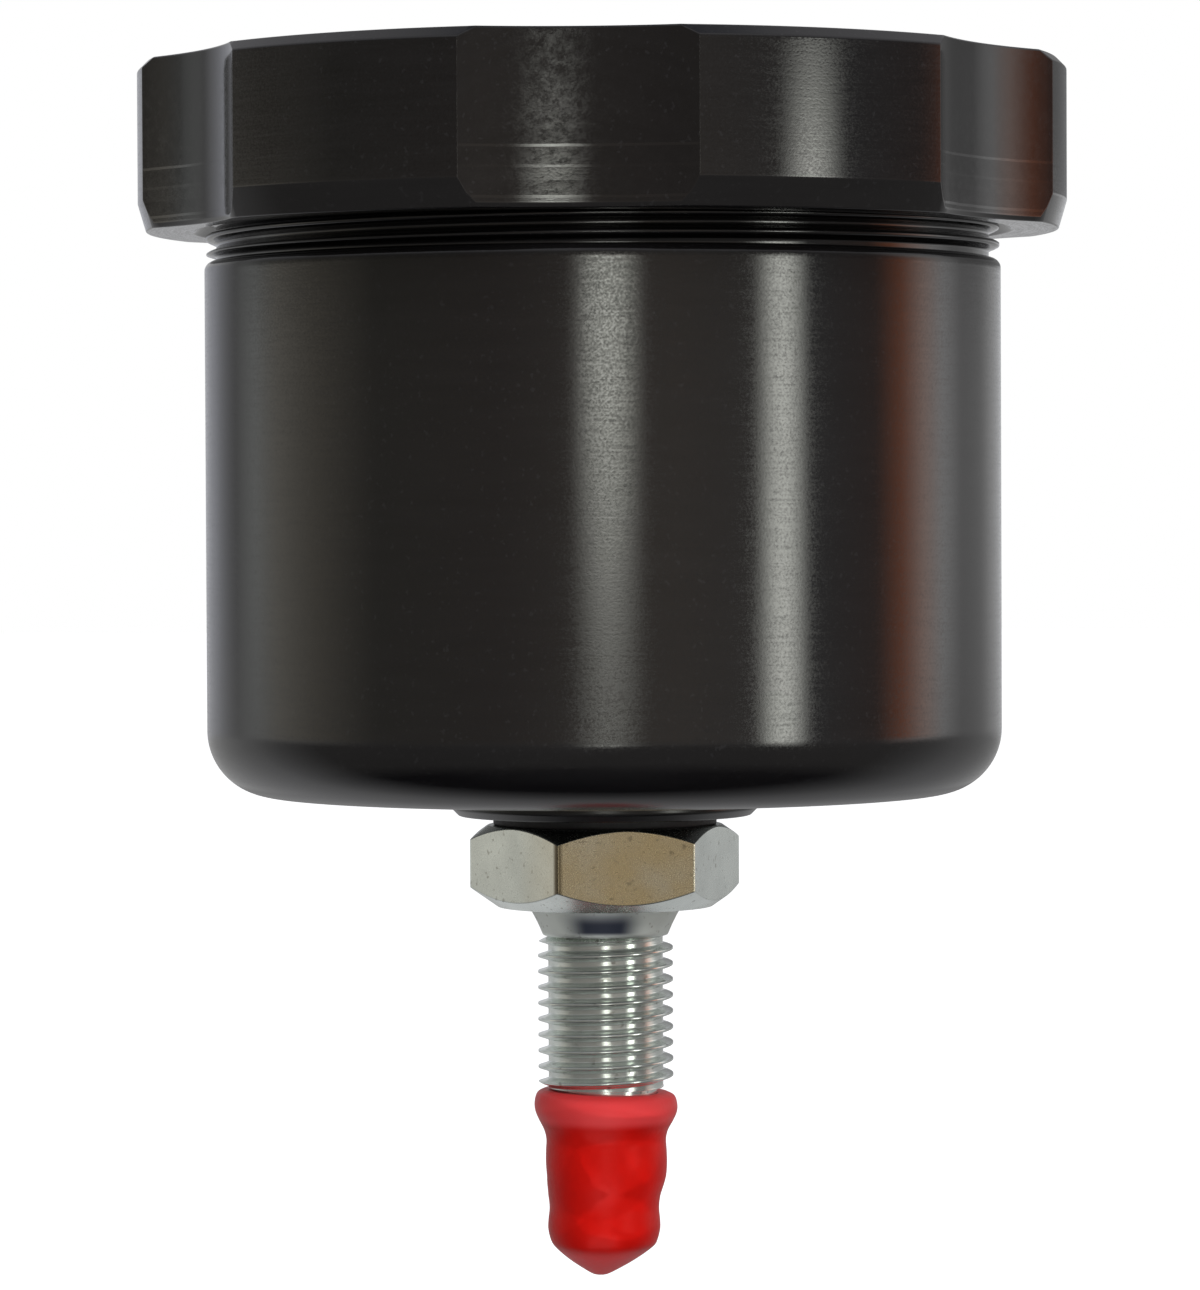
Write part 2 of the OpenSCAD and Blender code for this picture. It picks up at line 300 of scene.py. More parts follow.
def turned(name, turns, corners_at, closed, warp=None):
    """A piece whose section at each angle round Z is corners_at(angle).

    An open outline starts and ends on the axis. A warp moves each point off its turned place.
    """
    sections = [eased(corners_at(t), closed) for t in turns]
    rows = len(sections[0])
    builder = bmesh.new()
    grid = []
    poles = {}
    for turn, section in zip(turns, sections):
        column = []
        for row, (radius, height) in enumerate(section):
            if not closed and row in (0, rows - 1):
                if row not in poles:
                    poles[row] = builder.verts.new((0.0, 0.0, height))
                column.append(poles[row])
            else:
                place = Vector((radius * math.cos(turn), radius * math.sin(turn), height))
                column.append(builder.verts.new(warp(place) if warp else place))
        grid.append(column)
    for i, column in enumerate(grid):
        beside = grid[(i + 1) % len(grid)]
        for row in range(rows if closed else rows - 1):
            above = (row + 1) % rows
            corners = [column[row], beside[row], beside[above], column[above]]
            builder.faces.new(list(dict.fromkeys(corners)))
    bmesh.ops.recalc_face_normals(builder, faces=builder.faces)
    piece = object_from(builder, name)
    piece.data.shade_smooth()
    piece.data.set_sharp_from_angle(angle=SHARP_FROM)
    return piece


def spun(name, corners, sections, closed, warp=None):
    """A piece with the same section all round."""
    turns = [FULL_TURN * i / sections for i in range(sections)]
    return turned(name, turns, lambda turn: corners, closed, warp)


def finish_piece(piece, body, node):
    """Hands a finished piece to the frame in place of its CAD node."""
    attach(piece, body)
    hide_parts(node)


# Node trees


class Value:
    """A node's output, which can be reckoned with like a number and indexed for the node's other outputs."""

    def __init__(self, node, key=0):
        self.node = node
        self.tree = node.id_data
        self.socket = node.outputs[key]

    def __getitem__(self, key):
        return Value(self.node, key)

    def __add__(self, other):
        return self.maths("ADD", other)

    def __sub__(self, other):
        return self.maths("SUBTRACT", other)

    def __rsub__(self, other):
        return self.maths("MULTIPLY_ADD", -1.0, other)

    def __mul__(self, other):
        return self.maths("MULTIPLY", other)

    def __truediv__(self, other):
        return self.maths("DIVIDE", other)

    def __abs__(self):
        return self.maths("ABSOLUTE")

    def maths(self, operation, *others, clamp=False):
        """This value put through a math node, together with the others that the node takes."""
        inputs = dict(enumerate((self, *others)))
        return add_node(self.tree, "ShaderNodeMath", inputs, operation=operation, use_clamp=clamp)

    def spread(self, low, high, to_low=0.0, to_high=1.0, smooth=False):
        """This value mapped from one range to another and held at its ends."""
        inputs = {0: self, 1: low, 2: high, 3: to_low, 4: to_high}
        kind = "SMOOTHSTEP" if smooth else "LINEAR"
        return add_node(self.tree, "ShaderNodeMapRange", inputs, interpolation_type=kind)


def join(value, socket):
    """Links a node's output to a socket, or sets the socket to a plain number or colour."""
    if isinstance(value, Value):
        value.tree.links.new(value.socket, socket)
    else:
        socket.default_value = value


def add_node(tree, kind, inputs=None, **settings):
    """The first output of a new node, with its settings made and its inputs set or joined."""
    node = tree.nodes.new(kind)
    for name, value in settings.items():
        setattr(node, name, value)
    for key, value in (inputs or {}).items():
        join(value, node.inputs[key])
    return Value(node)


def blend_colours(tree, factor, first, second, blend_type="MIX"):
    """A mix of two colours."""
    inputs = {0: factor, 6: first, 7: second}
    return add_node(tree, "ShaderNodeMix", inputs, data_type="RGBA", blend_type=blend_type)[2]


def object_place(tree):
    """The place on a piece, in the piece's own frame."""
    return add_node(tree, "ShaderNodeTexCoord")["Object"]


def axes(place):
    """The X, Y and Z of a place or a direction."""
    return add_node(place.tree, "ShaderNodeSeparateXYZ", {0: place})


def from_axis(x, y):
    """The level vector from the Z axis to a place, and its length."""
    flat = add_node(x.tree, "ShaderNodeCombineXYZ", {0: x, 1: y})
    return flat, add_node(x.tree, "ShaderNodeVectorMath", {0: flat}, operation="LENGTH")["Value"]


def bearing(x, y):
    """The direction from the Z axis to a place, in degrees from the camera's side towards +X."""
    return x.maths("ARCTAN2", y * -1.0) * math.degrees(1.0)


def noise(place, scale, detail):
    """Noise that changes over a place."""
    return add_node(place.tree, "ShaderNodeTexNoise", {"Vector": place, "Scale": scale, "Detail": detail})


def bumped(height, distance):
    """A normal bent by a height, with the height's full range given as a distance."""
    inputs = {"Height": height, "Distance": distance, "Strength": 1.0}
    return add_node(height.tree, "ShaderNodeBump", inputs)


def new_group(name, kind, inputs, outputs):
    """A node group, what it is given, and the node that takes its results. Sockets go by name and kind."""
    tree = bpy.data.node_groups.new(name, kind)
    for direction, sockets in (("INPUT", inputs), ("OUTPUT", outputs)):
        for label, socket_kind in sockets.items():
            tree.interface.new_socket(label, in_out=direction, socket_type="NodeSocket" + socket_kind)
    return tree, Value(tree.nodes.new("NodeGroupInput")), tree.nodes.new("NodeGroupOutput")


def shared_group(build):
    """The node group that a function builds under its own name, built only once."""
    return bpy.data.node_groups.get(build.__name__) or build()


def place_group(tree, build, **values):
    """A shared group placed in a material. Its inputs are set by name, with underscores for spaces."""
    inputs = {name.replace("_", " "): value for name, value in values.items()}
    return add_node(tree, "ShaderNodeGroup", inputs, node_tree=shared_group(build))


# Threads


def helical_thread():
    """Geometry nodes that raise a right-handed thread from every point at one radius between two heights.

    Start is the thread's phase as a share of its pitch. Between Root and Crest, which are shares of the way
    from the middle of the groove to the middle of the ridge, the profile climbs. It is flat beyond them.
    """
    numbers = ("Radius", "Low", "High", "Pitch", "Depth", "Run out", "Start", "Root", "Crest")
    inputs = {"Geometry": "Geometry", "Material": "Material", **dict.fromkeys(numbers, "Float")}
    tree, given, result = new_group("helical_thread", "GeometryNodeTree", inputs, {"Geometry": "Geometry"})
    x, y, height = axes(add_node(tree, "GeometryNodeInputPosition"))
    flat, radius = from_axis(x, y)
    share_of_turn = y.maths("ARCTAN2", x) / FULL_TURN
    phase = (height / given["Pitch"] - share_of_turn - given["Start"]).maths("FRACT")
    ridge = 1.0 - abs(phase * 2.0 - 1.0)
    ridge = ridge.spread(given["Root"], given["Crest"], smooth=True)
    to_end = (height - given["Low"]).maths("MINIMUM", given["High"] - height)
    fade = to_end.maths("DIVIDE", given["Run out"], clamp=True)
    at_radius = radius.maths("COMPARE", given["Radius"], THREAD_REACH)
    within = to_end.maths("GREATER_THAN", -THREAD_SLACK)
    rise = ridge * fade * given["Depth"] * (at_radius * within)
    outward = add_node(tree, "ShaderNodeVectorMath", {0: flat}, operation="NORMALIZE")
    offset = add_node(tree, "ShaderNodeVectorMath", {0: outward, "Scale": rise}, operation="SCALE")
    moved = add_node(tree, "GeometryNodeSetPosition", {"Geometry": given["Geometry"], "Offset": offset})
    real = add_node(tree, "GeometryNodeRealizeInstances", {0: moved})
    dressed = add_node(tree, "GeometryNodeSetMaterial", {"Geometry": real, "Material": given["Material"]})
    join(dressed, result.inputs[0])
    return tree


def cut_thread(piece, **values):
    """Runs the thread nodes on a piece, with their inputs by name, and keeps the result as its plain mesh."""
    modifier = piece.modifiers.new("thread", "NODES")
    modifier.node_group = shared_group(helical_thread)
    for socket in modifier.node_group.interface.items_tree:
        key = socket.name.lower().replace(" ", "_")
        if key in values:
            modifier[socket.identifier] = values[key]
    evaluated = piece.evaluated_get(bpy.context.evaluated_depsgraph_get())
    threaded = bpy.data.meshes.new_from_object(evaluated)
    piece.modifiers.clear()
    piece.data = threaded


# Shared shader groups


def turning_marks():
    """Fine rings left by a turning tool, round a side and across a face alike."""
    tree, given, result = new_group(
        "turning_marks", "ShaderNodeTree",
        {"Rings per metre": "Float", "Wander per metre": "Float"}, {"Height": "Float", "Streak": "Float"},
    )
    x, y, height = axes(object_place(tree))
    radius = from_axis(x, y)[1]
    wander = given["Wander per metre"]
    rings = (height + radius) * given["Rings per metre"]
    stretched = add_node(tree, "ShaderNodeCombineXYZ", {0: x * wander, 1: y * wander, 2: rings})
    broad_place = add_node(tree, "ShaderNodeVectorMath", {0: stretched, 1: BROAD_RINGS}, operation="MULTIPLY")
    join(noise(stretched, scale=1.0, detail=3.0), result.inputs["Height"])
    join(noise(broad_place, scale=1.0, detail=2.0), result.inputs["Streak"])
    return tree


def grain():
    """Even fine grain, sparse specks and soft clouds, for etched, plated and moulded skins."""
    tree, given, result = new_group(
        "grain", "ShaderNodeTree",
        {"Grains per metre": "Float", "Specks per metre": "Float"},
        {"Height": "Float", "Specks": "Float", "Clouds": "Float"},
    )
    place = object_place(tree)
    dots = noise(place, scale=given["Specks per metre"], detail=1.0)
    clouds = noise(place, scale=CLOUDS_PER_METRE, detail=3.0)
    join(noise(place, scale=given["Grains per metre"], detail=2.0), result.inputs["Height"])
    join(dots.spread(0.66, 0.74), result.inputs["Specks"])
    join(clouds.spread(0.35, 0.65), result.inputs["Clouds"])
    return tree


# Materials


def new_material(name):
    """An empty material, and its tree."""
    material = bpy.data.materials.new(name)
    material.use_nodes = True
    material.node_tree.nodes.clear()
    return material, material.node_tree


def end_material(material, shader):
    """The material, with a shader joined to its output."""
    join(shader, material.node_tree.nodes.new("ShaderNodeOutputMaterial").inputs[0])
    return material


def clouded(mask, base, factor):
    """A colour that gets lighter or darker where a mask is high."""
    return blend_colours(mask.tree, mask, base, tuple(c * factor for c in base[:3]) + (1.0,))


def uneven(skin, low, high):
    """A roughness between two values that follows a skin's grain."""
    return skin["Height"].spread(0.3, 0.7, low, high)


def anodised_black(name, colours, mill_steps=(), matt_below=None):
    """Black anodised aluminium with turning rings, and on request milled scallops or a matt foot."""
    material, tree = new_material(name)
    rings = place_group(tree, turning_marks, Rings_per_metre=5200.0, Wander_per_metre=220.0)
    etch = place_group(tree, grain, Grains_per_metre=5600.0, Specks_per_metre=2600.0)
    height = rings["Height"] * 0.45 + etch["Height"]
    rough = (rings["Height"] * 0.5 + etch["Height"]).spread(0.5, 1.0, 0.04, 0.22)
    if mill_steps:
        scallop = add_node(tree, "ShaderNodeAttribute", attribute_name="scallop")["Fac"]
        chatter = place_group(tree, grain, Grains_per_metre=1500.0, Specks_per_metre=900.0)
        milled = mill_lines(chatter, mill_steps) + rings["Streak"] * 0.5 + etch["Height"] * 0.5
        milled_rough = (chatter["Height"] * 1.2 + etch["Height"]).spread(0.7, 1.5, 0.03, 0.14)
        height = scallop.spread(0.0, 1.0, height, milled)
        rough = scallop.spread(0.0, 1.0, rough, milled_rough)
    if matt_below is not None:
        level = axes(object_place(tree))[2]
        rough = rough.maths("MAXIMUM", level.spread(matt_below, matt_below - 0.8 * MM, 0.0, 0.26))
    tint = clouded(rings["Streak"], colours.anodised, 1.7)
    tint = blend_colours(tree, etch["Specks"] * 0.4, tint, colours.anodised_speck)
    normal = bumped(height, 0.002 * MM)
    inputs = {"Base Color": tint, "Roughness": rough, "IOR": 1.62, "Normal": normal}
    return end_material(material, add_node(tree, "ShaderNodeBsdfPrincipled", inputs))


def mill_lines(chatter, heights):
    """The height inside the scallops: the cutter's chatter, and a fine step between two of its passes."""
    waviness = 0.04 * MM
    level = axes(object_place(chatter.tree))[2]
    wavy = chatter["Clouds"] * waviness + level
    milled = chatter["Height"] * 0.6
    for height, depth in zip(heights, MILL_DEPTHS):
        above = wavy - (LID_LOW.z + height)
        step = above.spread(-0.1 * MM, 0.1 * MM)
        milled = milled + step * above.spread(0.08 * MM, 1.2 * MM, depth, 0.0)
    return milled


def zinc_plated(name, colours, sizes):
    """Zinc plating with a painted warm reflection on the hex's front faces, a dark line along their corner,
    dirt, small pits, a painted dark reflection on the flare and a faint grain.
    """
    material, tree = new_material(name)
    skin = place_group(tree, grain, Grains_per_metre=7000.0, Specks_per_metre=1800.0)
    rings = place_group(tree, turning_marks, Rings_per_metre=7000.0, Wander_per_metre=60.0)
    x, y, level = axes(object_place(tree))
    turn = bearing(x, y)
    # Masks of a painted warm reflection on the front faces and of a dark line along their corner.
    warm_reflection, dirt = hex_stain(tree, turn, level, sizes)
    on_thread = level.maths("LESS_THAN", 0.0)
    hex_foot = sizes.hex_foot
    on_flare = level.spread(0.0, 0.4 * MM) * level.spread(hex_foot + 0.01 * MM, hex_foot - 0.05 * MM)
    tint = clouded(skin["Clouds"], colours.zinc, 0.86)
    # Painted warm reflection on the faces turned towards the camera.
    tint = blend_colours(tree, warm_reflection * (skin["Clouds"] * 0.3 + 0.7), tint, colours.zinc_warm)
    dirt = (dirt * 0.9).maths("MAXIMUM", skin["Specks"] * 0.4)
    tint = blend_colours(tree, dirt, tint, colours.dirt)
    # Painted dark reflection on the front of the flare.
    tint = blend_colours(tree, burnt_patch(turn, level), tint, colours.burnt)
    rough = uneven(skin, 0.22, 0.28) + on_flare * 0.25 - on_thread * 0.09
    metal = 1.0 - on_thread * 0.12 - on_flare * 0.8
    height = (rings["Height"] * 0.3 + skin["Height"]) * (1.0 - on_thread * 0.7)
    normal = bumped(height, 0.0005 * MM)
    inputs = {"Base Color": tint, "Roughness": rough, "Metallic": metal, "Normal": normal}
    return end_material(material, add_node(tree, "ShaderNodeBsdfPrincipled", inputs))


def hex_stain(tree, turn, level, sizes):
    """Masks of the painted warm reflection on the front face and part of its left neighbour, and of a dark line
    along their corner.
    """
    half_face = 30.0
    centre = math.degrees(sizes.hex_turn)
    corner = centre - half_face
    front = abs(turn - centre).spread(half_face + 0.6, half_face - 0.8)
    beside = turn.spread(corner - 26.0, corner - 1.0, 0.0, 0.35) * turn.maths("LESS_THAN", corner + 0.5)
    facing = axes(add_node(tree, "ShaderNodeTexCoord")["Normal"])[2]
    on_sides = abs(facing).spread(0.3, 0.1) * level.maths("GREATER_THAN", sizes.hex_foot + 0.05 * MM)
    # A darker line along the front face's left corner.
    dirt = abs(turn - (corner - 0.2)).spread(2.4, 0.9)
    return front.maths("MAXIMUM", beside) * on_sides, dirt * on_sides


def burnt_patch(turn, level):
    """A mask of the painted dark reflection on the front of the flare, soft at all its edges."""
    across = turn.spread(-45.0, -16.0, smooth=True) * turn.spread(38.0, 12.0, smooth=True)
    upwards = level.spread(0.0, 0.6 * MM, smooth=True) * level.spread(3.2 * MM, 1.1 * MM, smooth=True)
    return across * upwards


def moulded_rubber(name, colours):
    """Matt black rubber with a fine moulded skin."""
    material, tree = new_material(name)
    skin = place_group(tree, grain, Grains_per_metre=5000.0, Specks_per_metre=1200.0)
    tint = clouded(skin["Clouds"], colours.rubber, 1.6)
    normal = bumped(skin["Height"], 0.01 * MM)
    inputs = {"Base Color": tint, "Roughness": uneven(skin, 0.5, 0.68), "Normal": normal}
    return end_material(material, add_node(tree, "ShaderNodeBsdfPrincipled", inputs))


def soft_vinyl(name, colours):
    """Soft red vinyl, slightly cloudy and slightly see-through, paler at its rolled band partly in its own tone
    and partly as a painted sheen, and paler at its tip as a painted reflection of the bright ground below.
    """
    material, tree = new_material(name)
    skin = place_group(tree, grain, Grains_per_metre=2200.0, Specks_per_metre=1500.0)
    level = axes(object_place(tree))[2]
    band = level.spread(CAP_HIGH.z - 3.0 * MM, CAP_HIGH.z - 2.2 * MM, smooth=True)
    tip = level.spread(CAP_LOW.z + 2.6 * MM, CAP_LOW.z + 1.6 * MM, smooth=True)
    tint = clouded(skin["Clouds"], colours.vinyl, 0.85)
    # At the band, its own paler tone plus a painted sheen; at the tip, a painted reflection of the ground
    # below.
    tint = blend_colours(tree, band.maths("MAXIMUM", tip) * 0.8, tint, colours.vinyl_pale)
    inputs = {
        "Base Color": tint, "Roughness": uneven(skin, 0.34, 0.44), "IOR": 1.28,
        "Normal": bumped(skin["Height"], 0.02 * MM), "Subsurface Weight": 0.15, "Subsurface Scale": 1.0,
        "Subsurface Radius": (1.2 * MM, 0.3 * MM, 0.3 * MM),
    }
    return end_material(material, add_node(tree, "ShaderNodeBsdfPrincipled", inputs))


def pale_floor(name, colours):
    """A pale, evenly lit studio floor with a faint mottle. It is clear from below."""
    material, tree = new_material(name)
    tint = clouded(noise(object_place(tree), scale=40.0, detail=4.0), colours.floor, 0.97)
    inputs = {"Base Color": tint, "Roughness": 0.7, "Emission Color": tint, "Emission Strength": 0.85}
    shader = add_node(tree, "ShaderNodeBsdfPrincipled", inputs)
    clear = add_node(tree, "ShaderNodeBsdfTransparent")
    below = add_node(tree, "ShaderNodeNewGeometry")["Backfacing"]
    return end_material(material, add_node(tree, "ShaderNodeMixShader", {0: below, 1: shader, 2: clear}))


# Outlines of the pieces


def pot_corners(sizes, threads):
    """Outline of the pot, a closed loop from the port round the outside and back down the cavity."""
    ease = sizes.edge_ease
    foot = POT_LOW.z
    base = foot + sizes.boss_height
    shoulder = base + sizes.body_height
    rim = POT_HIGH.z
    floor = base + sizes.floor_thickness
    groove_top = shoulder + sizes.groove_height
    side = sizes.side_radius
    round_foot = sizes.foot_radius
    round_edge = sizes.shoulder_ease
    cavity = sizes.cavity_radius
    round_floor = sizes.floor_corner
    hold = 0.3 * MM
    return [
        (sizes.port_radius, foot, ease),
        (sizes.boss_radius - sizes.boss_chamfer, foot, ease),
        (sizes.boss_radius, foot + sizes.boss_chamfer, ease),
        (sizes.boss_radius, base, 0.0),
        (side - round_foot - hold, base, 0.0),
        *arc(side - round_foot, base + round_foot, round_foot, -90, 0, 24),
        (side, base + round_foot + hold, 0.0),
        (side, shoulder - round_edge - hold, 0.0),
        *arc(side - round_edge, shoulder - round_edge, round_edge, 0, 90, 10),
        (sizes.neck_root, shoulder, 0.0),
        (sizes.neck_root, groove_top, 0.0),
        *rungs(sizes.neck_root, groove_top, rim - sizes.rim_chamfer, threads.neck_pitch / NECK_RUNGS),
        (sizes.neck_root, rim - sizes.rim_chamfer, 0.0),
        (sizes.neck_root - ease, rim, ease),
        (cavity + sizes.rim_chamfer / 2, rim, ease),
        (cavity, rim - sizes.rim_chamfer / 2, ease),
        (cavity, floor + round_floor + hold, 0.0),
        *arc(cavity - round_floor, floor + round_floor, round_floor, 0, -90, 10),
        (sizes.port_radius, floor - sizes.floor_fall, ease),
    ]


def scallop_layout(sizes):
    """The angle from one scallop to the next, and the distance of the round cutter's axis from the lid's."""
    return FULL_TURN / sizes.scallop_count, sizes.land_radius - sizes.scallop_depth + sizes.scallop_radius


def lid_side_radius(sizes, turn):
    """Radius of the lid's side at an angle: a land, or a scallop with a softened crease."""
    sector, axis = scallop_layout(sizes)
    off = (turn - sizes.first_scallop + sector / 2) % sector - sector / 2
    under_root = sizes.scallop_radius**2 - (axis * math.sin(off)) ** 2
    if under_root <= 0.0:
        return sizes.land_radius
    scallop = axis * math.cos(off) - math.sqrt(under_root)
    share = min(1.0, max(0.0, 0.5 + 0.5 * (scallop - sizes.land_radius) / sizes.crease_ease))
    smooth = scallop + (sizes.land_radius - scallop) * share
    return smooth - sizes.crease_ease * share * (1 - share)


def lid_turns(sizes):
    """Angles round the lid, close together where a scallop meets a land."""
    sector, axis = scallop_layout(sizes)
    share = (sizes.land_radius**2 + axis**2 - sizes.scallop_radius**2) / (2 * sizes.land_radius * axis)
    crease = math.acos(share)
    near = math.radians(0.9)
    tight = math.radians(0.03)
    # Stretches of half a sector, with their number of steps
    stretches = [
        (0.0, crease - near, 13), (crease - near, crease - tight, 5), (crease - tight, crease + tight, 4),
        (crease + tight, crease + near, 5), (crease + near, sector / 2, 9),
    ]
    half = [low + (high - low) * i / steps for low, high, steps in stretches for i in range(steps)]
    offsets = [-sector / 2] + [-t for t in reversed(half[1:])] + half
    middles = [sizes.first_scallop + sector * i for i in range(sizes.scallop_count)]
    return [middle + offset for middle in middles for offset in offsets]


def lid_corners(sizes, threads, turn):
    """Outline of the lid at an angle, from its top's middle round the skirt to its roof's middle."""
    ease = sizes.edge_ease
    side = lid_side_radius(sizes, turn)
    top = LID_HIGH.z
    foot = LID_LOW.z
    roof = DIAPHRAGM_HIGH.z
    groove_foot = POT_HIGH.z - sizes.groove_drop
    least = 0.1 * MM
    top_radius = min(side - least, sizes.land_radius - sizes.top_chamfer)
    foot_radius = min(side - least, sizes.land_radius - sizes.taper_width)
    taper = (side - foot_radius) * sizes.taper_height / sizes.taper_width
    bore = sizes.bore_radius
    mouth = foot + sizes.bore_chamfer
    return [
        (0.0, top, 0.0),
        (0.5 * top_radius, top, 0.0),
        (top_radius, top, ease),
        (side, top - (side - top_radius), ease),
        (side, foot + taper, ease),
        (foot_radius, foot, ease),
        (bore + sizes.bore_chamfer, foot, ease),
        (bore, mouth, 0.0),
        *rungs(bore, mouth, groove_foot, threads.neck_pitch / LID_RUNGS),
        (bore, groove_foot, 0.0),
        (sizes.groove_radius, groove_foot, 0.0),
        (sizes.groove_radius, roof, 0.0),
        (0.5 * bore, roof, 0.0),
        (0.0, roof, 0.0),
    ]


def mark_scallops(piece, sizes):
    """Marks the points that lie in a scallop, for the milling lines."""
    slack = 0.05 * MM
    marks = piece.data.attributes.new("scallop", "FLOAT", "POINT")
    for point in piece.data.vertices:
        radius = math.hypot(point.co.x, point.co.y)
        side = lid_side_radius(sizes, math.atan2(point.co.y, point.co.x))
        on_side = abs(radius - side) < slack
        marks.data[point.index].value = float(on_side and side < sizes.land_radius - slack)


def diaphragm_corners(sizes, pot):
    """Outline of the diaphragm: clamped rim, hanging fold, standing fold and a cup in the middle."""
    half = sizes.skin / 2
    rim = POT_HIGH.z
    top = DIAPHRAGM_HIGH.z
    wall = pot.cavity_radius - sizes.skin_gap - half
    outer = DIAPHRAGM_HIGH.x
    fold = sizes.fold
    low = rim - sizes.fold_depth
    high = rim - sizes.fold_crest
    cup = rim - sizes.cup_depth + fold
    wide = fold + half
    tight = fold - half
    ease = 0.3 * MM
    return [
        (0.0, cup - wide, 0.0),
        *arc(wall - 5 * fold, cup, wide, -90, 0, 8),
        *arc(wall - 3 * fold, high, tight, 180, 0, 14),
        *arc(wall - fold, low, wide, -180, 0, 16),
        (wall + half, rim, ease),
        (outer, rim, ease),
        (outer, top, ease),
        (wall - half, top, ease),
        *arc(wall - fold, low, tight, 0, -180, 14),
        *arc(wall - 3 * fold, high, wide, 0, 180, 16),
        *arc(wall - 5 * fold, cup, tight, 0, -90, 8),
        (0.0, cup - tight, 0.0),
    ]


def hex_side_radius(sizes, turn):
    """Radius of the hex's side at an angle, with its corners slightly rounded."""
    sixth = FULL_TURN / 6
    off = (turn - sizes.hex_turn) % sixth - sixth / 2
    flat = sizes.hex_flat / math.cos(off)
    corner = sizes.hex_flat / math.cos(sixth / 2) - sizes.hex_corner
    cut_away = 0.65
    return flat - cut_away * max(0.0, flat - corner)


def hex_turns(sizes):
    """Angles round the hex, close together at its corners."""
    sixth = FULL_TURN / 6
    steps = 14
    crowding = 1.8
    half = [sixth / 2 * (1 - (1 - i / steps) ** crowding) for i in range(steps + 1)]
    offsets = [-t for t in reversed(half[1:])] + half[:-1]
    return [sizes.hex_turn + sixth * (i + 0.5) + offset for i in range(6) for offset in offsets]


def adapter_corners(sizes, threads, turn):
    """Outline of the adapter at an angle, a closed loop from the nose up the outside and down the bore."""
    ease = sizes.edge_ease
    side = hex_side_radius(sizes, turn)
    slope = math.tan(sizes.hex_chamfer)
    foot = sizes.hex_foot
    top = foot + sizes.hex_height
    foot_radius = sizes.hex_flat - sizes.inset_foot
    top_radius = sizes.hex_flat - sizes.inset_top
    thread_end = -threads.outlet_length
    root = threads.outlet_root
    nose_end = ADAPTER_LOW.z
    cone = (sizes.nose_radius - sizes.tip_radius) / math.tan(sizes.cone_angle)
    flare = []
    for step in range(1, 8):
        t = step / 8
        share = t * (1 - sizes.flare_hollow * (1 - t))
        flare.append((sizes.flare_end + (sizes.flare_radius - sizes.flare_end) * share, foot * t, 0.0))
    return [
        (sizes.passage_radius, nose_end, ease),
        (sizes.tip_radius, nose_end, ease),
        (sizes.nose_radius, nose_end + cone, ease),
        (sizes.nose_radius, thread_end, 0.0),
        (root, thread_end, ease),
        *rungs(root, thread_end, 0.0, threads.outlet_pitch / OUTLET_RUNGS),
        (root, 0.0, 0.0),
        (sizes.flare_end, 0.05 * MM, ease),
        *flare,
        (sizes.flare_radius, foot, 3 * ease),
        (foot_radius, foot, ease),
        (side, foot + (side - foot_radius) * slope, ease),
        (side, top - (side - top_radius) * slope, ease),
        (top_radius, top, ease),
        (sizes.spigot_radius, top, 0.0),
        (sizes.spigot_radius, ADAPTER_HIGH.z, ease),
        (sizes.passage_radius, ADAPTER_HIGH.z, ease),
    ]


def seal_corners(sizes):
    """Outline of the seal ring."""
    ease = 0.2 * MM
    outer = SEAL_HIGH.x
    return [
        (sizes.seal_hole, SEAL_LOW.z, ease),
        (outer, SEAL_LOW.z, ease),
        (outer, SEAL_HIGH.z, ease),
        (sizes.seal_hole, SEAL_HIGH.z, ease),
    ]


def flowing(knots, steps):
    """Points of a smooth curve through the knots of an outline."""
    padded = [Vector(knot) for knot in (knots[0], *knots, knots[-1])]
    points = []
    for i in range(len(knots) - 1):
        before, start, end, after = padded[i : i + 4]
        for step in range(steps):
            t = step / steps
            square = 2 * before - 5 * start + 4 * end - after
            cube = 3 * start - before - 3 * end + after
            points.append(start + ((end - before) * t + square * t**2 + cube * t**3) / 2)
    return [(*point, 0.0) for point in (*points, padded[-1])]


def cap_corners(sizes):
    """Outline of the cap, from its tip up the outside, over the rolled band and down the inside."""
    mouth = CAP_HIGH.z
    tip = CAP_LOW.z
    nose_end = ADAPTER_LOW.z
    bore = sizes.cap_bore
    sleeve = bore + sizes.cap_wall
    band = sizes.cap_band
    low = sleeve - sizes.cap_draw
    knots = [
        (0.0, tip),
        (0.6 * MM, tip + 0.06 * MM),
        (1.6 * MM, tip + 0.6 * MM),
        (2.6 * MM, tip + 1.23 * MM),
        (3.5 * MM, tip + 1.9 * MM),
        (low - 0.2 * MM, tip + 2.6 * MM),
        (low + 0.1 * MM, tip + 3.6 * MM),
        (low + 0.1 * MM, tip + 4.4 * MM),
        (low, tip + 5.4 * MM),
        (low + 0.1 * MM, tip + 6.4 * MM),
        (sleeve - 0.02 * MM, tip + 7.6 * MM),
        (sleeve + 0.09 * MM, tip + 8.9 * MM),
        (sleeve + 0.07 * MM, tip + 10.1 * MM),
        (sleeve + 0.03 * MM, tip + 10.9 * MM),
        (sleeve + 0.2 * MM, mouth - 3.3 * MM),
        (band - 0.32 * MM, mouth - 2.4 * MM),
        (band - 0.04 * MM, mouth - 1.7 * MM),
        (band, mouth - 1.0 * MM),
        (band - 0.2 * MM, mouth - 0.3 * MM),
        (band - 0.7 * MM, mouth),
    ]
    inside = [
        (bore, mouth, 0.1 * MM),
        (bore, nose_end, 0.1 * MM),
        (bore - sizes.cap_draw, nose_end - sizes.cap_draw, 0.1 * MM),
        (bore - sizes.cap_draw, tip + 3.4 * MM, 0.3 * MM),
        (0.3 * MM, tip + 2 * sizes.cap_wall, 0.1 * MM),
        (0.0, tip + 2 * sizes.cap_wall, 0.0),
    ]
    return flowing(knots, 4) + inside


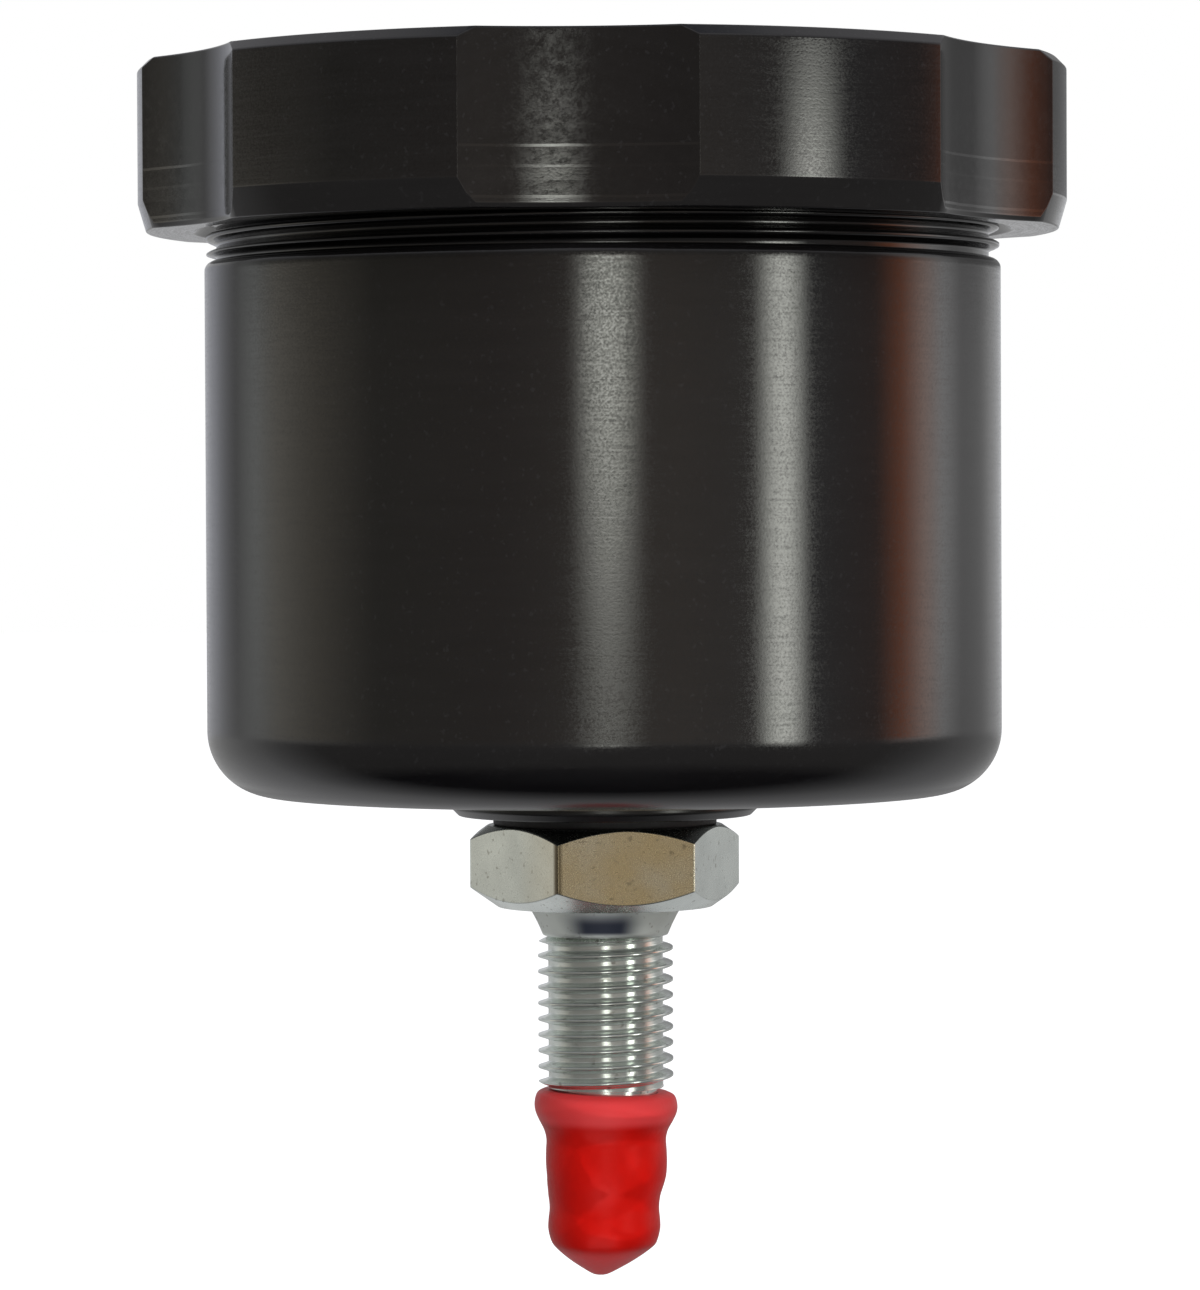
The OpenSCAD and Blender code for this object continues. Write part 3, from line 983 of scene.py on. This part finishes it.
def cap_warp(sizes):
    """A function that makes the soft cap slightly uneven, slants its mouth and leans its end."""
    mouth = CAP_HIGH.z
    reach = mouth - CAP_LOW.z
    nose = ADAPTER_LOW.z
    slant_reach = 4 * MM

    def warp(place):
        turn = math.atan2(place.y, place.x)
        down = (mouth - place.z) / reach
        free = max(0.0, (nose - place.z) / (nose - CAP_LOW.z))
        # A part of the lean is just below the nose, and the rest in the tip
        lean = 0.38 * min(1.0, free / 0.2) + 0.62 * max(0.0, (free - 0.7) / 0.3)
        lump = math.sin(2 * turn + 5 * down) * 0.6 + math.sin(3 * turn - 9 * down) * 0.4
        outer = math.hypot(place.x, place.y) > sizes.cap_bore + 0.1 * MM
        grow = 1.0 + (sizes.cap_lump * lump / sizes.cap_band if outer else 0.0)
        near_mouth = max(0.0, 1 - (mouth - place.z) / slant_reach)
        drop = sizes.cap_slant * (0.5 + 0.5 * place.x / sizes.cap_band) * near_mouth
        return Vector((place.x * grow - sizes.cap_lean * lean, place.y * grow, place.z - drop))

    return warp


class RESERVOIR_OT_pot(bpy.types.Operator):
    """Makes the turned pot with its threaded neck"""

    bl_idname = "reservoir.pot"
    bl_label = "Pot"

    def execute(self, context):
        sizes = context.scene.reservoir_pot
        threads = context.scene.reservoir_threads
        piece = spun("pot_turned", pot_corners(sizes, threads), sections=256, closed=True)
        base = POT_LOW.z + sizes.boss_height
        matt_below = base + 0.3 * sizes.foot_radius
        material = anodised_black("pot_anodised", context.scene.reservoir_colours, matt_below=matt_below)
        cut_thread(
            piece, material=material, radius=sizes.neck_root,
            low=base + sizes.body_height + sizes.groove_height, high=POT_HIGH.z - sizes.rim_chamfer,
            pitch=threads.neck_pitch, depth=sizes.neck_crest - sizes.neck_root,
            run_out=threads.neck_run_out, start=0.5, root=0.15, crest=0.87,
        )
        finish_piece(piece, "pot", "pot")
        return {"FINISHED"}


class RESERVOIR_OT_lid(bpy.types.Operator):
    """Makes the scalloped lid with its threaded bore"""

    bl_idname = "reservoir.lid"
    bl_label = "Lid"

    def execute(self, context):
        sizes = context.scene.reservoir_lid
        threads = context.scene.reservoir_threads
        piece = turned(
            "lid_turned", lid_turns(sizes), lambda turn: lid_corners(sizes, threads, turn), closed=False
        )
        mark_scallops(piece, sizes)
        colours = context.scene.reservoir_colours
        cut_thread(
            piece, material=anodised_black("lid_anodised", colours, mill_steps=sizes.mill_steps),
            radius=sizes.bore_radius, low=LID_LOW.z + sizes.bore_chamfer, high=POT_HIGH.z - sizes.groove_drop,
            pitch=threads.neck_pitch, depth=threads.lid_depth, run_out=threads.run_out,
            start=0.5, root=0.1, crest=1.15,
        )
        finish_piece(piece, "lid", "lid")
        return {"FINISHED"}


class RESERVOIR_OT_diaphragm(bpy.types.Operator):
    """Makes the folded rubber diaphragm"""

    bl_idname = "reservoir.diaphragm"
    bl_label = "Diaphragm"

    def execute(self, context):
        corners = diaphragm_corners(context.scene.reservoir_soft, context.scene.reservoir_pot)
        piece = spun("diaphragm_moulded", corners, sections=160, closed=False)
        piece.data.materials.append(moulded_rubber("diaphragm_rubber", context.scene.reservoir_colours))
        finish_piece(piece, "diaphragm", "diaphragm")
        return {"FINISHED"}


class RESERVOIR_OT_adapter(bpy.types.Operator):
    """Makes the plated hex adapter with its outlet thread"""

    bl_idname = "reservoir.adapter"
    bl_label = "Outlet adapter"

    def execute(self, context):
        sizes = context.scene.reservoir_adapter
        threads = context.scene.reservoir_threads
        piece = turned(
            "adapter_turned", hex_turns(sizes), lambda turn: adapter_corners(sizes, threads, turn),
            closed=True,
        )
        cut_thread(
            piece, material=zinc_plated("adapter_zinc", context.scene.reservoir_colours, sizes),
            radius=threads.outlet_root, low=-threads.outlet_length, high=0.0,
            pitch=threads.outlet_pitch, depth=threads.outlet_crest - threads.outlet_root,
            run_out=threads.run_out, start=0.72, root=0.32, crest=0.88,
        )
        finish_piece(piece, "pot", "outlet_adapter")
        return {"FINISHED"}


class RESERVOIR_OT_seal(bpy.types.Operator):
    """Makes the seal ring between the boss and the hex"""

    bl_idname = "reservoir.seal"
    bl_label = "Port seal"

    def execute(self, context):
        corners = seal_corners(context.scene.reservoir_soft)
        piece = spun("seal_ring", corners, sections=96, closed=True)
        piece.data.materials.append(moulded_rubber("seal_rubber", context.scene.reservoir_colours))
        finish_piece(piece, "pot", "port_seal")
        return {"FINISHED"}


class RESERVOIR_OT_cap(bpy.types.Operator):
    """Makes the soft dust cap"""

    bl_idname = "reservoir.cap"
    bl_label = "Dust cap"

    def execute(self, context):
        sizes = context.scene.reservoir_soft
        piece = spun("cap_soft", cap_corners(sizes), sections=96, closed=False, warp=cap_warp(sizes))
        piece.data.materials.append(soft_vinyl("cap_vinyl", context.scene.reservoir_colours))
        finish_piece(piece, "dust_cap", "dust_cap")
        return {"FINISHED"}


class RESERVOIR_OT_stage(bpy.types.Operator):
    """Makes the floor, the lights and the camera"""

    bl_idname = "reservoir.stage"
    bl_label = "Stage"

    def execute(self, context):
        sizes = context.scene.reservoir_stage
        make_floor(sizes, context.scene.reservoir_colours)
        make_surroundings(context.scene)
        make_lamps(context.scene)
        make_camera(context.scene, sizes)
        context.scene.view_settings.view_transform = "Standard"
        return {"FINISHED"}


def make_floor(sizes, colours):
    """A round pale floor below the part."""
    builder = bmesh.new()
    bmesh.ops.create_circle(builder, cap_ends=True, segments=64, radius=sizes.floor_radius)
    for point in builder.verts:
        point.co.z = CAP_LOW.z - sizes.floor_drop
    floor = object_from(builder, "floor")
    floor.data.materials.append(pale_floor("floor_pale", colours))
    floor.visible_glossy = False
    floor.visible_diffuse = False


# Tones of the surroundings at eye level, by direction in degrees from the camera's side towards +X
SURROUNDINGS = [
    (-180, (0.6, 0.61, 0.64)),
    (-149, (0.56, 0.57, 0.62)),
    (-131, (0.3, 0.3, 0.3)),
    (-118, (0.8, 0.82, 0.8)),
    (-107, (0.78, 0.74, 0.65)),
    (-90, (0.52, 0.48, 0.4)),
    (-68, (0.19, 0.18, 0.15)),
    (-30, (0.21, 0.18, 0.155)),
    (20, (0.38, 0.33, 0.28)),
    (62, (0.22, 0.22, 0.22)),
    (84, (0.2, 0.14, 0.12)),
    (94, (1.0, 0.34, 0.17)),
    (104, (1.65, 1.2, 1.05)),
    (113, (1.35, 1.35, 1.35)),
    (124, (0.56, 0.56, 0.56)),
    (133, (0.48, 0.48, 0.48)),
    (139, (0.47, 0.47, 0.47)),
    (148, (0.62, 0.62, 0.62)),
    (180, (0.7, 0.71, 0.74)),
]

# Tones of the ground in front of the part and behind it, each some way out and then right below
FRONT_GROUND = ((0.15, 0.145, 0.14, 1.0), (0.015, 0.015, 0.02, 1.0))
BACK_GROUND = ((0.4, 0.4, 0.4, 1.0), (0.5, 0.5, 0.51, 1.0))

# Angles above eye level between which the upper wall and the ceiling come in, and their tones
OVERHEAD = [
    (8.0, 30.0, (0.45, 0.45, 0.47, 1.0)),
    (62.0, 80.0, (0.1, 0.115, 0.15, 1.0)),
]

WINDOW_LIGHT = (0.98, 1.0, 0.92, 1.0)
WHITE = (1.0, 1.0, 1.0, 1.0)


def make_surroundings(scene):
    """A world of plain soft tones round the part, with two soft windows behind the camera."""
    world = bpy.data.worlds.new("studio")
    world.use_nodes = True
    scene.world = world
    tree = world.node_tree
    tree.nodes.clear()
    x, y, z = axes(add_node(tree, "ShaderNodeTexCoord")["Generated"])
    turn = bearing(x, y)
    rise = z.maths("ARCSINE") * math.degrees(1.0)
    behind = y.spread(0.0, 0.5)
    higher_behind = 3.2
    on_ground = (rise - behind * higher_behind).spread(-3.0, -9.0, smooth=True)
    tone = blend_colours(tree, on_ground, eye_level(tree, turn, rise), ground(tree, x, rise, behind))
    for low, high, overhead in OVERHEAD:
        tone = blend_colours(tree, rise.spread(low, high, smooth=True), tone, overhead)
    glow = blend_colours(tree, 1.0, windows(turn, rise), WINDOW_LIGHT, "MULTIPLY")
    tone = blend_colours(tree, 1.0, tone, glow, "ADD")
    tone = blend_colours(tree, add_node(tree, "ShaderNodeLightPath")["Is Camera Ray"], tone, WHITE)
    background = add_node(tree, "ShaderNodeBackground", {"Color": tone, "Strength": 1.0})
    join(background, tree.nodes.new("ShaderNodeOutputWorld").inputs[0])


def eye_level(tree, turn, rise):
    """The surroundings' tones by direction, greyer away from eye level and mostly dimmer above it."""
    tones = add_node(tree, "ShaderNodeValToRGB", {0: turn * (1 / 360) + 0.5})
    stops = tones.node.color_ramp.elements
    while len(stops) > 1:
        stops.remove(stops[-1])
    for i, (degrees, tone) in enumerate(SURROUNDINGS):
        stop = stops[0] if i == 0 else stops.new(degrees / 360 + 0.5)
        stop.position = degrees / 360 + 0.5
        stop.color = (*tone, 1.0)
    saturation = rise.spread(5.0, 6.5, 1.0, 0.3).maths("MINIMUM", rise.spread(-3.0, -4.2, 1.0, 0.3))
    muted = add_node(tree, "ShaderNodeHueSaturation", {"Saturation": saturation, "Color": tones})
    above = abs(turn).spread(118.0, 150.0, 0.6, 0.34)
    above = above + turn.spread(-72.0, -90.0, 0.0, -0.27) + turn.spread(-116.0, -136.0, 0.0, 0.9)
    shade = rise.spread(2.6, 3.4, 1.0, above)
    return blend_colours(tree, 1.0, muted, shade, "MULTIPLY")


def ground(tree, x, rise, behind):
    """The ground's tones, in front of the part and behind it, where the left is lighter than the right."""
    front = blend_colours(tree, rise.spread(-34.0, -50.0), *FRONT_GROUND)
    back = blend_colours(tree, rise.spread(-12.0, -34.0), *BACK_GROUND)
    back = blend_colours(tree, 1.0, back, x.spread(-0.5, 0.5, 1.2, 0.9), "MULTIPLY")
    return blend_colours(tree, behind, front, back)


def windows(turn, rise):
    """The strength of two windows, one straight behind the camera and one to its right."""
    full = 7.6
    strength = rise.spread(-2.3, 2.9, 0.5, full, smooth=True)
    strength = strength.maths("MINIMUM", rise.spread(3.05, 3.35, full, 0.35))
    strength = strength.maths("MAXIMUM", rise.spread(-4.0, -4.9, 0.0, 3.2))
    first = soft_window(turn, rise, centre=1.2, half_width=11.5, low=-6.6, high=4.5)
    second = soft_window(turn, rise, centre=51.8, half_width=9.8, low=-6.6, high=4.3)
    return first * strength + second * rise.spread(-3.4, -4.2, 6.5, 3.4)


def soft_window(turn, rise, centre, half_width, low, high):
    """A bright patch of the surroundings with soft edges, placed by its angles in degrees."""
    soft = 1.0
    across = abs(turn - centre).spread(half_width, 0.0, smooth=True)
    foot = rise.spread(low - soft, low + soft, smooth=True)
    head = rise.spread(high + soft, high - soft, smooth=True)
    return across * foot * head


def make_lamps(scene):
    """A large softbox over the part, and the light that a table throws back from below."""
    soft_light(scene, "overhead_softbox", size=1.2, power=15.0, place=(0.3, -0.9, 0.9), tilt=45, turn=18)
    soft_light(scene, "table_bounce", size=0.4, power=3.4, place=(-0.05, -0.3, -0.35), tilt=140, turn=0)


def soft_light(scene, name, size, power, place, tilt, turn):
    """A square softbox that no camera and no reflection shows, with its tilt and turn in degrees."""
    lamp = bpy.data.lights.new(name, "AREA")
    lamp.size = size
    lamp.energy = power
    light = bpy.data.objects.new(name, lamp)
    light.location = place
    light.rotation_euler = (math.radians(tilt), 0.0, math.radians(turn))
    light.visible_camera = False
    light.visible_glossy = False
    scene.collection.objects.link(light)


def make_camera(scene, sizes):
    """The photograph's camera: level with the pot, aimed slightly down."""
    lens = bpy.data.cameras.new("camera")
    lens.sensor_width = 36.0
    lens.lens = sizes.focal_pixels / PHOTO_HEIGHT * lens.sensor_width
    lens.clip_start = 0.01
    camera = bpy.data.objects.new("camera", lens)
    camera.location = (-sizes.camera_side, -sizes.camera_distance, sizes.camera_height)
    dip = math.atan((PHOTO_HEIGHT / 2 - sizes.horizon_row) / sizes.focal_pixels)
    camera.rotation_mode = "XYZ"
    camera.rotation_euler = (math.pi / 2 - dip, sizes.camera_roll, 0.0)
    scene.collection.objects.link(camera)
    scene.camera = camera


OPERATORS = [
    RESERVOIR_OT_pot,
    RESERVOIR_OT_lid,
    RESERVOIR_OT_diaphragm,
    RESERVOIR_OT_adapter,
    RESERVOIR_OT_seal,
    RESERVOIR_OT_cap,
    RESERVOIR_OT_stage,
]


class RESERVOIR_PT_sidebar(bpy.types.Panel):
    """Lists the reservoir's pieces"""

    bl_idname = "RESERVOIR_PT_sidebar"
    bl_label = "Reservoir"
    bl_space_type = "VIEW_3D"
    bl_region_type = "UI"
    bl_category = "Reservoir"

    def draw(self, context):
        for operator in OPERATORS:
            self.layout.operator(operator.bl_idname)


PROPERTY_GROUPS = {
    "reservoir_pot": PotSizes,
    "reservoir_lid": LidSizes,
    "reservoir_threads": ThreadSizes,
    "reservoir_adapter": AdapterSizes,
    "reservoir_soft": SoftSizes,
    "reservoir_colours": FinishColours,
    "reservoir_stage": StageSizes,
}


def register():
    for name, group in PROPERTY_GROUPS.items():
        bpy.utils.register_class(group)
        setattr(bpy.types.Scene, name, bpy.props.PointerProperty(type=group))
    for cls in [*OPERATORS, RESERVOIR_PT_sidebar]:
        bpy.utils.register_class(cls)


def unregister():
    for cls in reversed([*OPERATORS, RESERVOIR_PT_sidebar]):
        bpy.utils.unregister_class(cls)
    for name, group in reversed(PROPERTY_GROUPS.items()):
        delattr(bpy.types.Scene, name)
        bpy.utils.unregister_class(group)


def main():
    register()
    bpy.ops.reservoir.pot()
    bpy.ops.reservoir.lid()
    bpy.ops.reservoir.diaphragm()
    bpy.ops.reservoir.adapter()
    bpy.ops.reservoir.seal()
    bpy.ops.reservoir.cap()
    bpy.ops.reservoir.stage()


if __name__ == "__main__":
    main()
